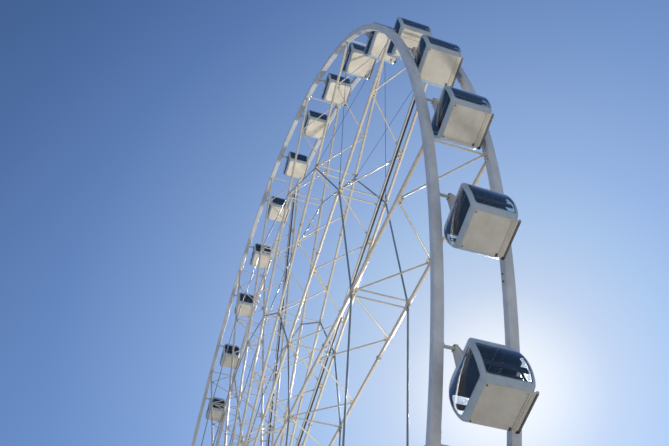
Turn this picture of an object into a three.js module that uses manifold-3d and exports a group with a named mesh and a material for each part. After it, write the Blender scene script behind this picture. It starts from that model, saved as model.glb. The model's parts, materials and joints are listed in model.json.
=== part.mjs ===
import * as THREE from "three";
import { mergeVertices } from "three/addons/utils/BufferGeometryUtils.js";
import Module from "manifold-3d";

// Large observation wheel as a 1:2 scale model, in millimetres, +Z up.
// The axle runs along Y, the rims lie in planes parallel to XZ, and the ground is at z = 0.

const wheelRadius = 14000;        // to the middle of the rim boxes and to the cabin pivots
const axleHeight = 16450;
const rimBox = 130;               // square box section of each rim
const rimHalfGap = 502;           // middle of each rim from the middle plane
const rimSegments = 72;
const firstFrame = -37.7;         // degrees from +X towards +Z
const frameCount = 18;
const cabinCount = 36;
const seat = 0.3;                 // gap left where two pieces meet

const chordSize = 62;
const rungSize = 50;
const braceSize = 42;
const tieSize = 36;
const tieLevels = [0.762, 0.49];  // parts of the wheel radius
const doubleRungGap = 170;
const braceNear = [0.915, 0.762, 0.626, 0.49];
const braceFar = [1.0, 0.84, 0.695, 0.553];

const hubFlangeRadius = 860;      // to the flats that the chords stand on
const hubFlangeY = 601;           // middle of each flange
const hubFlangeThick = 110;
const hubDrumRadius = 430;
const journalRadius = 190;
const journalReach = 1200;

const cabinDrop = 1099;           // pivot down to the underside of the floor
const cabinHeight = 910;          // underside of the floor to the roof
const cabinWall = 16;
const cabinFloor = 24;
const cabinSill = 100;
const cabinHead = 680;
const cabinX = [[0, 272], [cabinSill, 332], [290, 380], [590, 380], [cabinHeight, 296]];
const cabinY = [[0, 288], [cabinSill, 328], [290, 345], [590, 335], [cabinHeight, 252]];
const sideWindow = 270;           // half width of the panes that face along X
const frontWindow = 288;          // half width of the panes that face along Y
const pinRadius = 26;
const pinDepth = 40;              // length of each pin inside its rim
const lugPlace = 284;             // lug plates stand on the sloping tops of the side walls
const lugThick = 36;
const lugFoot = [800, 120];       // height above the floor's underside and half width
const lugHead = [60, 58];         // height above the pivot and half width
const doorSill = [540, 345, 42];  // length, reach from the middle plane and height of the beam under the door

const legSize = 420;
const footX = 7000;
const footY = 2600;
const baseHeight = 400;
const sideBeamHeight = 300;
const saddleBottom = 15750;
const saddleTop = 16100;
const saddleY = 950;
const saddleThick = 380;

const deckTop = 1200;
const deckThick = 60;
const deckX = 5000;
const deckY = 2300;
const deckPost = 110;
const stairWidth = 850;
const stairRisers = 13;
const treadDepth = 140;
const landingX = 850;
const railHeight = 550;
const railBar = 36;

const wasm = await Module();
wasm.setup();

const white = { color: 0xe9e9e6, roughness: 0.45, metalness: 0.1 };
const silver = { color: 0xc9ccce, roughness: 0.4, metalness: 0.3 };
const grey = { color: 0x8d9195, roughness: 0.6, metalness: 0.2 };

const wheel = new THREE.Group();

// A three.js geometry as a solid that can be joined and cut.
function solid(geometry, matrix) {
  const bare = geometry.index ? geometry.toNonIndexed() : geometry.clone();
  for (const name of Object.keys(bare.attributes)) if (name !== "position") bare.deleteAttribute(name);
  if (matrix) bare.applyMatrix4(matrix);
  const merged = mergeVertices(bare, 1e-3);
  return new wasm.Manifold(new wasm.Mesh({
    numProp: 3,
    vertProperties: new Float32Array(merged.attributes.position.array),
    triVerts: new Uint32Array(merged.index.array),
  }));
}

function geometryOf(body) {
  const mesh = body.getMesh();
  const geometry = new THREE.BufferGeometry();
  geometry.setAttribute("position", new THREE.BufferAttribute(new Float32Array(mesh.vertProperties), 3));
  geometry.setIndex(new THREE.BufferAttribute(new Uint32Array(mesh.triVerts), 1));
  geometry.computeVertexNormals();
  return geometry;
}

const join = (bodies) => bodies.reduce((all, body) => all.add(body));

function box(x, y, z) {
  const place = new THREE.Matrix4().makeTranslation((x[0] + x[1]) / 2, (y[0] + y[1]) / 2, (z[0] + z[1]) / 2);
  return solid(new THREE.BoxGeometry(x[1] - x[0], y[1] - y[0], z[1] - z[0]), place);
}

// A straight square bar from one point to another; side is the direction its second pair of faces looks in.
function bar(from, to, size, side, depth = size) {
  const along = new THREE.Vector3().subVectors(to, from);
  const length = along.length();
  along.normalize();
  const third = new THREE.Vector3().crossVectors(side, along).normalize();
  const up = new THREE.Vector3().crossVectors(along, third);
  const middle = new THREE.Vector3().addVectors(from, to).multiplyScalar(0.5);
  const place = new THREE.Matrix4().makeBasis(along, third, up).setPosition(middle);
  return solid(new THREE.BoxGeometry(length, size, depth), place);
}

function add(name, geometry, look) {
  const mesh = new THREE.Mesh(geometry, new THREE.MeshStandardMaterial(look));
  mesh.name = name;
  wheel.add(mesh);
  return mesh;
}

const degrees = (angle) => angle * Math.PI / 180;
const pad = (number) => String(number).padStart(2, "0");

// Place of a point given by its radius, its place along the axle and its angle from +X towards +Z.
function polar(radius, y, angle) {
  const turn = degrees(angle);
  return new THREE.Vector3(radius * Math.cos(turn), y, radius * Math.sin(turn));
}

// Distance of a chord from the middle plane at a part of the wheel radius.
const chordLean = (hubFlangeY - rimHalfGap) / (wheelRadius - hubFlangeRadius);
const chordY = (part) => rimHalfGap + chordLean * (1 - part) * wheelRadius;

// One radial ladder frame at an angle: two chords, rungs and the zigzag braces between them.
function ladderFrame(angle) {
  const across = polar(1, 0, angle + 90);
  const point = (part, side) => polar(part * wheelRadius, side * chordY(part), angle);
  const endLean = chordSize / 2 * chordLean;
  const rimDrop = rimBox / 2 + chordSize / 2 * Math.tan(degrees(180 / rimSegments)) + endLean + seat;
  const outerPart = 1 - rimDrop / wheelRadius;
  const innerPart = (hubFlangeRadius + endLean + seat) / wheelRadius;
  const bars = [];
  for (const side of [-1, 1]) {
    bars.push(bar(point(innerPart, side), point(outerPart, side), chordSize, across));
  }
  const level = (radius, size) => {
    const half = chordY(radius / wheelRadius);
    bars.push(bar(polar(radius, -half, angle), polar(radius, half, angle), size, across));
  };
  level(tieLevels[0] * wheelRadius - doubleRungGap / 2, rungSize);
  level(tieLevels[0] * wheelRadius + doubleRungGap / 2, rungSize);
  level(tieLevels[1] * wheelRadius, rungSize);
  const reach = rimHalfGap - rimBox / 2 - seat;
  bars.push(bar(polar(wheelRadius, -reach, angle), polar(wheelRadius, reach, angle), rungSize, across));
  const rimEnd = polar(wheelRadius, reach - braceSize, angle);
  for (let i = 0; i < braceNear.length; i += 1) {
    const far = i === 0 ? rimEnd : point(braceFar[i], 1);
    bars.push(bar(far, point(braceNear[i], -1), braceSize, across));
    if (i + 1 < braceFar.length) bars.push(bar(point(braceNear[i], -1), point(braceFar[i + 1], 1), braceSize, across));
  }
  return bars;
}

// Thin ties from the frame at one angle to the next, on both sides of the wheel.
function ties(angle, endsFree) {
  const step = 360 / frameCount;
  const axle = new THREE.Vector3(0, 1, 0);
  const bars = [];
  for (const part of tieLevels) {
    for (const side of [-1, 1]) {
      const from = polar(part * wheelRadius, side * chordY(part), angle);
      const to = polar(part * wheelRadius, side * chordY(part), angle + step);
      const lean = degrees(step / 2);
      const short = chordSize / 2 / Math.cos(lean) + tieSize / 2 * Math.tan(lean) + seat;
      const back = new THREE.Vector3().subVectors(from, to).normalize().multiplyScalar(endsFree ? short : 0);
      bars.push(bar(from, to.add(back), tieSize, axle));
    }
  }
  return bars;
}

function addSpokeBays() {
  const step = 360 / frameCount;
  const bay = geometryOf(join([...ladderFrame(0), ...ladderFrame(step), ...ties(0, false), ...ties(step, true)]));
  for (let i = 0; i < frameCount / 2; i += 1) {
    const mesh = add(`spoke_bay_${pad(i + 1)}`, bay, white);
    mesh.rotation.y = -degrees(firstFrame + 2 * step * i);
    mesh.position.z = axleHeight;
  }
}

// A closed ring about the axle from a square profile, with its corners at whole steps from firstFrame.
function ring(radius, y, size, segments) {
  const half = size / 2;
  const profile = [[radius - half, y - half], [radius + half, y - half], [radius + half, y + half],
    [radius - half, y + half], [radius - half, y - half]].map(([r, z]) => new THREE.Vector2(r, z));
  return new THREE.LatheGeometry(profile, segments, degrees(90 - firstFrame));
}

const cabinAngle = (i) => firstFrame + 360 / cabinCount * (i + 0.5);

const rimInside = rimHalfGap - rimBox / 2;

// A rim with one blind bore for each cabin's pin.
function rim(side) {
  const boreSides = 8;
  const boreRadius = (pinRadius + seat) / Math.cos(Math.PI / boreSides);
  const over = 5;
  const bores = [];
  for (let i = 0; i < cabinCount; i += 1) {
    const bore = new THREE.CylinderGeometry(boreRadius, boreRadius, pinDepth + over, boreSides);
    const middle = polar(wheelRadius, side * (rimInside + (pinDepth - over) / 2), cabinAngle(i));
    bores.push(solid(bore, new THREE.Matrix4().setPosition(middle)));
  }
  return geometryOf(solid(ring(wheelRadius, side * rimHalfGap, rimBox, rimSegments)).subtract(join(bores)));
}

function hub() {
  const flangeIn = hubFlangeY - hubFlangeThick / 2;
  const flangeOut = hubFlangeY + hubFlangeThick / 2;
  const corner = hubFlangeRadius / Math.cos(Math.PI / frameCount);
  const half = [[journalRadius, journalReach], [journalRadius, flangeOut], [corner, flangeOut], [corner, flangeIn],
    [hubDrumRadius, flangeIn]];
  const upper = half.map(([r, y]) => new THREE.Vector2(r, y));
  const lower = half.map(([r, y]) => new THREE.Vector2(r, -y)).reverse();
  const axis = (y) => new THREE.Vector2(0, y);
  const profile = [axis(journalReach), ...upper, ...lower, axis(-journalReach)].reverse();
  const halfStep = 180 / frameCount;
  return new THREE.LatheGeometry(profile, frameCount, degrees(90 - firstFrame + halfStep));
}

// A solid whose half width along X and along Y are each given at heights above the floor's underside.
function tapered(xLevels, yLevels, reach) {
  const outline = (levels) => {
    const right = levels.map(([z, half]) => new THREE.Vector2(half, z));
    const left = levels.map(([z, half]) => new THREE.Vector2(-half, z)).reverse();
    return new THREE.Shape([...right, ...left]);
  };
  const slab = (levels) => new THREE.ExtrudeGeometry(outline(levels), { depth: 2 * reach, bevelEnabled: false });
  const alongY = new THREE.Matrix4().makeRotationX(Math.PI / 2).setPosition(0, reach, 0);
  const alongX = new THREE.Matrix4().makeBasis(
    new THREE.Vector3(0, 1, 0), new THREE.Vector3(0, 0, 1), new THREE.Vector3(1, 0, 0)).setPosition(-reach, 0, 0);
  return solid(slab(xLevels), alongY).intersect(solid(slab(yLevels), alongX));
}

// A plate on the shoulder of a side wall, with the pin that turns in the rim.
function lug(side) {
  const [footHeight, footHalf] = lugFoot;
  const [over, headHalf] = lugHead;
  const outline = new THREE.Shape([[-footHalf, footHeight], [footHalf, footHeight], [headHalf, cabinDrop + over],
    [-headHalf, cabinDrop + over]].map(([x, z]) => new THREE.Vector2(x, z)));
  const plate = solid(new THREE.ExtrudeGeometry(outline, { depth: lugThick, bevelEnabled: false }),
    new THREE.Matrix4().makeRotationX(Math.PI / 2).setPosition(0, side * lugPlace + lugThick / 2, 0));
  const length = rimInside + pinDepth - seat - lugPlace;
  const pin = solid(new THREE.CylinderGeometry(pinRadius, pinRadius, length, 6),
    new THREE.Matrix4().setPosition(0, side * (lugPlace + length / 2), cabinDrop));
  return plate.add(pin);
}

// A closed passenger cabin hung from its roof lugs: flared skirt, window band, roof, floor and door sill.
function cabin() {
  const narrower = (levels, low, high) => levels.map(([z, half], i) => {
    const last = i === levels.length - 1;
    return [i === 0 ? low : last ? high : z, half - cabinWall];
  });
  const ceiling = cabinHeight - cabinWall;
  const shell = tapered(cabinX, cabinY, 600);
  const room = tapered(narrower(cabinX, cabinFloor, ceiling), narrower(cabinY, cabinFloor, ceiling), 600);
  const windowLow = cabinSill + 14;
  const windowHigh = cabinHead - 14;
  const reach = 700;
  const frontPanes = box([-frontWindow, frontWindow], [-reach, reach], [windowLow, windowHigh]);
  const sidePanes = box([-reach, reach], [-sideWindow, sideWindow], [windowLow, windowHigh]);
  const body = shell.subtract(room).subtract(frontPanes).subtract(sidePanes);
  const [sillLength, sillReach, sillHeight] = doorSill;
  const step = box([-sillLength / 2, sillLength / 2], [cabinY[0][1] - 8, sillReach], [-8, sillHeight - 8]);
  return geometryOf(join([body, step, lug(-1), lug(1)]).translate([0, 0, -cabinDrop]));
}

function addCabins() {
  const shape = cabin();
  for (let i = 0; i < cabinCount; i += 1) {
    const mesh = add(`cabin_${pad(i + 1)}`, shape, silver);
    mesh.position.copy(polar(wheelRadius, 0, cabinAngle(i)));
    mesh.position.z += axleHeight;
  }
}

// The saddle and block on top of a pair of legs, bored for the hub's journal.
function bearing(side) {
  const inner = side * (saddleY - saddleThick / 2);
  const outer = side * (saddleY + saddleThick / 2);
  const y = [Math.min(inner, outer), Math.max(inner, outer)];
  const saddle = box([-760, 760], y, [saddleBottom, saddleTop]);
  const block = box([-380, 380], y, [saddleTop - 1, axleHeight + 380]);
  const boreRadius = (journalRadius + 0.5) / Math.cos(Math.PI / frameCount);
  const length = 4 * saddleThick;
  const start = degrees(90 - firstFrame);
  const bore = solid(new THREE.CylinderGeometry(boreRadius, boreRadius, length, frameCount, 1, false, start),
    new THREE.Matrix4().setPosition(0, side * saddleY, axleHeight));
  return geometryOf(saddle.add(block).subtract(bore));
}

// A leaning box leg from the base frame up to the saddle.
function leg(sideX, sideY) {
  const top = new THREE.Vector3(sideX * 480, sideY * saddleY, saddleBottom);
  const foot = new THREE.Vector3(sideX * footX, sideY * footY, baseHeight);
  const along = new THREE.Vector3().subVectors(top, foot).normalize().multiplyScalar(legSize);
  const body = bar(foot.clone().sub(along), top.clone().add(along), legSize, new THREE.Vector3(0, 1, 0), 360);
  const reach = 20000;
  const between = box([-reach, reach], [-reach, reach], [baseHeight + seat, saddleBottom - seat]);
  return geometryOf(body.intersect(between));
}

// Beams on the ground under the feet and along both sides of the deck.
function baseFrame() {
  const crossHalf = 300;
  const crossReach = footY + 600;
  const beams = [];
  for (const side of [-1, 1]) {
    const x = side * footX;
    beams.push(box([x - crossHalf, x + crossHalf], [-crossReach, crossReach], [0, baseHeight]));
    const y = side * (deckY - deckPost);
    beams.push(box([-footX, footX], [y - deckPost, y + deckPost], [0, sideBeamHeight]));
  }
  return geometryOf(join(beams));
}

// Boarding deck under the wheel on its posts.
function platform() {
  const bodies = [box([-deckX, deckX], [-deckY, deckY], [deckTop - deckThick, deckTop])];
  const rows = 5;
  for (let i = 0; i < rows; i += 1) {
    for (const side of [-1, 1]) {
      const x = (i / (rows - 1) * 2 - 1) * (deckX - deckPost);
      const y = side * (deckY - deckPost);
      bodies.push(box([x - deckPost / 2, x + deckPost / 2], [y - deckPost / 2, y + deckPost / 2],
        [sideBeamHeight + seat, deckTop - deckThick / 2]));
    }
  }
  return geometryOf(join(bodies));
}

// A flight beside the deck that ends on its own landing.
function stairs(side) {
  const rise = deckTop / stairRisers;
  const thick = 130;
  const run = (stairRisers - 1) * treadDepth;
  const points = [[0, deckTop], [landingX, deckTop]];
  for (let i = 1; i < stairRisers; i += 1) {
    const x = landingX + (i - 1) * treadDepth;
    points.push([x, deckTop - i * rise], [x + treadDepth, deckTop - i * rise]);
  }
  points.push([landingX + run, 0], [landingX + run - thick, 0]);
  points.push([landingX - thick, deckTop - thick], [0, deckTop - thick]);
  const outline = new THREE.Shape(points.map(([x, z]) => new THREE.Vector2(x, z)));
  const flight = new THREE.ExtrudeGeometry(outline, { depth: stairWidth, bevelEnabled: false });
  const near = deckY + seat;
  const place = new THREE.Matrix4().makeRotationX(Math.PI / 2).setPosition(-deckX, near + stairWidth, 0);
  const post = 110;
  const posts = [near + post / 2, near + stairWidth - post / 2].map((y) =>
    box([-deckX, -deckX + post], [y - post / 2, y + post / 2], [0, deckTop - thick / 2]));
  const body = join([solid(flight, place), ...posts]);
  return geometryOf(side > 0 ? body : body.rotate([0, 0, 180]));
}

// Guard rail along one edge of the deck, open where the landing joins it.
function railing(side) {
  const from = -deckX + landingX + 60;
  const to = deckX - 60;
  const low = deckTop + seat;
  const y = deckY - 60;
  const bodies = [];
  for (const height of [railHeight, railHeight / 2]) {
    bodies.push(box([from, to], [y - railBar / 2, y + railBar / 2], [low + height - railBar, low + height]));
  }
  const posts = 5;
  const half = railBar / 2 + 4;
  for (let i = 0; i < posts; i += 1) {
    const x = from + half + (to - from - 2 * half) * i / (posts - 1);
    bodies.push(box([x - half, x + half], [y - half, y + half], [low, low + railHeight - railBar / 2]));
  }
  const body = join(bodies);
  return geometryOf(side > 0 ? body : body.rotate([0, 0, 180]));
}

function addStand() {
  for (const [side, name] of [[-1, "near"], [1, "far"]]) {
    add(`${name}_bearing`, bearing(side), grey);
    add(`${name}_left_leg`, leg(-1, side), white);
    add(`${name}_right_leg`, leg(1, side), white);
    add(`${name}_stairs`, stairs(side), grey);
    add(`${name}_railing`, railing(side), silver);
  }
  add("base_frame", baseFrame(), white);
  add("platform", platform(), grey);
}

for (const [side, name] of [[-1, "near_rim"], [1, "far_rim"]]) add(name, rim(side), white).position.z = axleHeight;
add("hub", hub(), grey).position.z = axleHeight;
addSpokeBays();
addCabins();
addStand();

export default wheel;
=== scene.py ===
import json
from functools import partial
from itertools import product
from math import cos, pi, radians, sin
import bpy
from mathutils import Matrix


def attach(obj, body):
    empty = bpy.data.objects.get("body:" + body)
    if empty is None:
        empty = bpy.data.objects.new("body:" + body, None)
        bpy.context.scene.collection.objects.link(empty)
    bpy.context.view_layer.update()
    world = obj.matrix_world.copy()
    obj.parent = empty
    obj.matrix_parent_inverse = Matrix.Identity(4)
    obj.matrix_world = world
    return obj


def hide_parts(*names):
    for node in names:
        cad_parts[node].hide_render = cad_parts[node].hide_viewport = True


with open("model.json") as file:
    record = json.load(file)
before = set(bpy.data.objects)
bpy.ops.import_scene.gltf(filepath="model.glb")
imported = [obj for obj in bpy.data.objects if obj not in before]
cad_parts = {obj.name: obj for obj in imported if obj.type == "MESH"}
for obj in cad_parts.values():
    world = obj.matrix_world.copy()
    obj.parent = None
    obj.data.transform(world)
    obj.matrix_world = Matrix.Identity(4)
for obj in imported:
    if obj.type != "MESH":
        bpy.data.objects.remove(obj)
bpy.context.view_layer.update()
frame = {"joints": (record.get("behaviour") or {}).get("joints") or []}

from types import SimpleNamespace as Sizes

import bmesh
import bpy
from mathutils import Matrix, Vector

scene = bpy.context.scene
axle = Vector(frame["joints"][0]["pos_m"])
print("frame loaded, axle at", tuple(round(v, 3) for v in axle))

# All sizes are in metres and all angles in degrees. Wheel angles run from +X towards +Z.
wheelSizes = {
    "radius": 14.0,  # to the middle of the rim boxes and to the cabin pivots
    "rimBox": 0.130,
    "rimHalfGap": 0.502,  # middle of each rim from the middle plane
    "firstFrame": -37.7, "frameStep": 20.0, "cabinStep": 10.0,
    "hubFlange": 0.86,  # where the chords stand on the hub
    "hubFlangeY": 0.601,
}
wheel = Sizes(**wheelSizes)
xAxis, yAxis, zAxis = Vector((1, 0, 0)), Vector((0, 1, 0)), Vector((0, 0, 1))


def polar(radius, y, angle):
    turn = radians(angle)
    return Vector((radius * cos(turn), y, axle.z + radius * sin(turn)))


def wheelWays(angle):
    # outwards from the axle, and onwards round the wheel
    return (polar(1, 0, angle) - axle).normalized(), (polar(1, 0, angle + 90) - axle).normalized()


def chordPlace(part, side, angle):
    # the two chords of a frame spread a little towards the hub
    radius = part * wheel.radius
    lean = (wheel.hubFlangeY - wheel.rimHalfGap) / (wheel.radius - wheel.hubFlange)
    return polar(radius, side * (wheel.rimHalfGap + lean * (wheel.radius - radius)), angle)


def directed(along, side=None):
    # a turn that lays Z along one direction and keeps X close to another
    z = along.normalized()
    x = side - z * side.dot(z) if side else z.orthogonal()
    x.normalize()
    return Matrix((x, z.cross(x), z)).transposed().to_4x4()


def only(items, kind):
    return [item for item in items if isinstance(item, kind)]


def dye(verts, look):
    # gives the faces that were just made their place in the piece's list of materials
    for face in {face for vert in verts for face in vert.link_faces}:
        face.material_index = look
    return verts


def roundOff(bm, geom, offset, segments, affect="VERTICES"):
    bmesh.ops.bevel(bm, geom=geom, offset=offset, segments=segments, profile=0.5, affect=affect, material=-1)


def rod(bm, start, end, radius, sides=12, look=0, endRadius=None):
    start, end = Vector(start), Vector(end)
    along = end - start
    place = Matrix.Translation((start + end) / 2) @ directed(along)
    made = bmesh.ops.create_cone(bm, cap_ends=True, segments=sides, radius1=radius, radius2=endRadius or radius,
                                 depth=along.length, matrix=place)
    dye(made["verts"], look)


def disc(bm, centre, along, radius, thick, sides=24, look=0):
    half = along.normalized() * thick / 2
    rod(bm, Vector(centre) - half, Vector(centre) + half, radius, sides, look)


def block(bm, centre, size, round=0, turn=None, look=0, segments=1):
    place = Matrix.Translation(centre) @ (turn or Matrix.Identity(4)) @ Matrix.Diagonal((*size, 1))
    verts = dye(bmesh.ops.create_cube(bm, size=1, matrix=place)["verts"], look)
    if round:
        roundOff(bm, list({edge for vert in verts for edge in vert.link_edges}), round, segments, "EDGES")


def boltHead(bm, place, along, size):
    # a hexagon head on its washer
    place, out = Vector(place), along.normalized()
    disc(bm, place + out * size * 0.12, out, size * 1.35, size * 0.24, 8)
    disc(bm, place + out * size * 0.6, out, size, size * 0.75, 6)


def boltCircle(bm, centre, along, radius, count, size, start=0.0):
    turn = directed(along)
    for i in range(count):
        angle = radians(start) + 2 * pi * i / count
        arm = turn @ Vector((radius * cos(angle), radius * sin(angle), 0))
        boltHead(bm, Vector(centre) + arm, along, size)


def plate(bm, corners, along, thick, look=0):
    # a flat plate from its corner points, thickened along one direction
    face = bm.faces.new([bm.verts.new(Vector(corner) - along * thick / 2) for corner in corners])
    made = bmesh.ops.extrude_face_region(bm, geom=[face], use_keep_orig=True)["geom"]
    moved = only(made, bmesh.types.BMVert)
    bmesh.ops.translate(bm, verts=moved, vec=along * thick)
    dye(list(face.verts) + moved, look)


def spun(bm, chain, centre, steps, closed):
    # (radius, y) points turned about the axle's direction
    verts = [bm.verts.new(centre + Vector((r, y, 0))) for r, y in chain]
    edges = [bm.edges.new(pair) for pair in zip(verts, verts[1:] + verts[:1] if closed else verts[1:])]
    bmesh.ops.spin(bm, geom=verts + edges, cent=centre, axis=yAxis, dvec=(0, 0, 0), angle=2 * pi, steps=steps,
                   use_merge=True, use_duplicate=False)


def meshFrom(bm, name, looks=(), outward=True):
    if outward:
        bmesh.ops.recalc_face_normals(bm, faces=bm.faces)
    mesh = bpy.data.meshes.new(name)
    bm.to_mesh(mesh)
    bm.free()
    for look in looks:
        mesh.materials.append(look)
    return mesh


def linked(name, data):
    made = bpy.data.objects.new(name, data)
    scene.collection.objects.link(made)
    return made


def piece(name, shape, looks, body, nodes=(), sharp=35):
    mesh = meshFrom(shape, name, looks) if isinstance(shape, bmesh.types.BMesh) else shape
    mesh.shade_smooth()
    mesh.set_sharp_from_angle(angle=radians(sharp))
    made = linked(name, mesh)
    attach(made, body)
    if nodes:
        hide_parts(*nodes)


# Materials
def hexColour(code):
    parts = [int(code[i:i + 2], 16) / 255 for i in (0, 2, 4)]
    return (*[c / 12.92 if c <= 0.04045 else ((c + 0.055) / 1.055) ** 2.4 for c in parts], 1.0)


def addNode(tree, kind, inputs={}, **settings):
    # an input is a value, a socket to link from, or a node to link from by its first output
    node = tree.nodes.new("ShaderNode" + kind)
    for name, value in settings.items():
        setattr(node, name, value)
    for socket, value in inputs.items():
        source = value.outputs[0] if isinstance(value, bpy.types.Node) else value
        if isinstance(source, bpy.types.NodeSocket):
            tree.links.new(source, node.inputs[socket])
        else:
            node.inputs[socket].default_value = value
    return node


def startMaterial(name, **values):
    material = bpy.data.materials.new(name)
    material.use_nodes = True
    add = partial(addNode, material.node_tree)
    for socket, value in values.items():
        material.node_tree.nodes["Principled BSDF"].inputs[socket.replace("_", " ")].default_value = value
    return material, add, add("TexCoord").outputs["Object"]


def finishMaterial(material, share=None, colours=None, gloss=None, relief=None):
    # share mixes two colours, gloss is a source with the roughness at its ends, and relief is a height with its
    # strength and its depth in metres
    tree, made = material.node_tree, {}
    if share:
        mix = {0: share, 6: hexColour(colours[0]), 7: hexColour(colours[1])}
        made["Base Color"] = addNode(tree, "Mix", mix, data_type="RGBA").outputs[2]
    if gloss:
        ends = {"Value": gloss[0], "To Min": gloss[1], "To Max": gloss[2]}
        made["Roughness"] = addNode(tree, "MapRange", ends).outputs[0]
    if relief:
        bump = {"Height": relief[0], "Strength": relief[1], "Distance": relief[2]}
        made["Normal"] = addNode(tree, "Bump", bump).outputs[0]
    for socket, source in made.items():
        tree.links.new(source, tree.nodes["Principled BSDF"].inputs[socket])
    return material


def paintedSteel(name, clean, dull, roughness=(0.3, 0.5), streak=0.5, peel=0.05):
    # Two-pack polyurethane paint, sprayed: satin, with faint orange peel, a patchy film of dust
    # that dulls its colour, and rain streaks that run down it.
    material, add, place = startMaterial(name, Coat_Weight=0.15, Coat_Roughness=0.25)
    drawn = add("Mapping", {"Vector": place, "Scale": (9.0, 9.0, 0.7)})
    rain = add("TexNoise", {"Vector": drawn, "Scale": 1.6, "Detail": 5.0, "Roughness": 0.6})
    dust = add("TexNoise", {"Vector": place, "Scale": 2.3, "Detail": 6.0, "Roughness": 0.65})
    both = add("Mix", {0: streak, 2: dust, 3: rain})
    film = add("MapRange", {"Value": both, "From Min": 0.35, "From Max": 0.72})
    grain = add("TexNoise", {"Vector": place, "Scale": 70.0, "Detail": 2.0})
    return finishMaterial(material, film, (clean, dull), (film, *roughness), (grain, peel, 0.004))


def galvanisedSteel(name, light, dark, cell=0.03, roughness=(0.35, 0.55)):
    # Hot-dip galvanised steel: zinc crystals a few centimetres wide, each with its own grey and sheen.
    material, add, place = startMaterial(name, Metallic=0.75)
    cells = add("TexVoronoi", {"Vector": place, "Scale": 1 / cell})
    grey = add("SeparateColor", {"Color": cells.outputs["Color"]})
    cloud = add("TexNoise", {"Vector": place, "Scale": 5.0, "Detail": 5.0})
    both = add("Mix", {0: 0.6, 2: grey, 3: cloud})
    return finishMaterial(material, both, (light, dark), (both, *roughness))


def darkFitting(name, base, worn, grit=90.0, roughness=(0.4, 0.7), metallic=0.0):
    # Black powder coat or moulded rubber: matt, fine grit, a little grey where it is scuffed.
    material, add, place = startMaterial(name, Metallic=metallic)
    scuff = add("TexNoise", {"Vector": place, "Scale": 9.0, "Detail": 7.0, "Roughness": 0.7})
    worst = add("MapRange", {"Value": scuff, "From Min": 0.5, "From Max": 0.8})
    grain = add("TexNoise", {"Vector": place, "Scale": grit, "Detail": 2.0})
    return finishMaterial(material, worst, (base, worn), (scuff, *roughness), (grain, 0.15, 0.002))


def tintedGlass(name, tint):
    # Tempered glass with an anti-glare coat: a faint blue-grey tint, a slight roller wave and smears of dust.
    material, add, place = startMaterial(name, Transmission_Weight=1.0, IOR=1.30, Base_Color=hexColour(tint))
    smear = add("TexNoise", {"Vector": place, "Scale": 6.0, "Detail": 6.0, "Roughness": 0.7})
    film = add("MapRange", {"Value": smear, "From Min": 0.45, "From Max": 0.8})
    wave = add("TexNoise", {"Vector": place, "Scale": 3.0, "Detail": 1.0})
    return finishMaterial(material, gloss=(film, 0.01, 0.12), relief=(wave, 0.05, 0.01))


def chequerPlate(name, light, dark):
    # Rolled aluminium tread plate: raised lozenges in two directions, 50 mm apart, rubbed bright on top.
    material, add, place = startMaterial(name, Metallic=0.6)
    rows = []
    for turn in (45, -45):
        laid = {"Vector": place, "Rotation": (0, 0, radians(turn)), "Scale": (20.0, 40.0, 20.0)}
        bricks = {"Vector": add("Mapping", laid), "Scale": 1.0, "Mortar Size": 0.3, "Mortar Smooth": 0.6,
                  "Brick Width": 1.0, "Row Height": 1.0, "Color1": (1, 1, 1, 1), "Color2": (1, 1, 1, 1),
                  "Mortar": (0, 0, 0, 1)}
        rows.append(add("TexBrick", bricks, offset=0.5))
    raised = add("Math", {0: rows[0], 1: rows[1]}, operation="MULTIPLY")
    dirt = add("TexNoise", {"Vector": place, "Scale": 3.0, "Detail": 6.0})
    share = add("Math", {0: raised, 1: 0.5, 2: dirt}, operation="MULTIPLY_ADD")
    return finishMaterial(material, share, (dark, light), (dirt, 0.35, 0.6), (raised, 0.6, 0.004))


def lightStrip(name, sleeve, diode):
    # A rubber-sleeved light strip that is switched off: a dark sleeve with a faint tick every 50 mm.
    material, add, place = startMaterial(name, Roughness=0.35)
    fromAxle = add("VectorMath", {0: place, 1: tuple(axle)}, operation="SUBTRACT")
    along = add("VectorMath", {0: fromAxle}, operation="LENGTH").outputs["Value"]
    step = add("Math", {0: along, 1: 2 * pi / 0.05}, operation="MULTIPLY")
    wave = add("Math", {0: step}, operation="SINE")
    ticks = add("MapRange", {"Value": wave, "From Min": 0.55, "From Max": 0.75})
    return finishMaterial(material, ticks, (sleeve, diode))


whitePaint = paintedSteel("white_polyurethane_paint", "cfcac0", "a39d92", roughness=(0.16, 0.34))
rimPaint = paintedSteel("rim_polyurethane_paint", "cbced3", "aaadb2", streak=0.35)
# The ties are white steel tubes. Their slate grey is painted shade, for tubes seen from below in shade.
tiePaintWithPaintedShade = paintedSteel("tie_paint_darkened_as_painted_shade", "7f8b94", "636f78", roughness=(0.3, 0.5))
cabinPaint = paintedSteel("silver_grey_body_paint", "afbcc5", "939fa9", roughness=(0.22, 0.4), streak=0.6, peel=0.02)
undersidePaint = paintedSteel("warm_grey_underseal", "d3cfc6", "b4afa5", roughness=(0.5, 0.75), streak=0.1, peel=0.2)
machinePaint = paintedSteel("grey_machinery_enamel", "9aa0a5", "747a80", roughness=(0.35, 0.6), peel=0.12)
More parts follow.
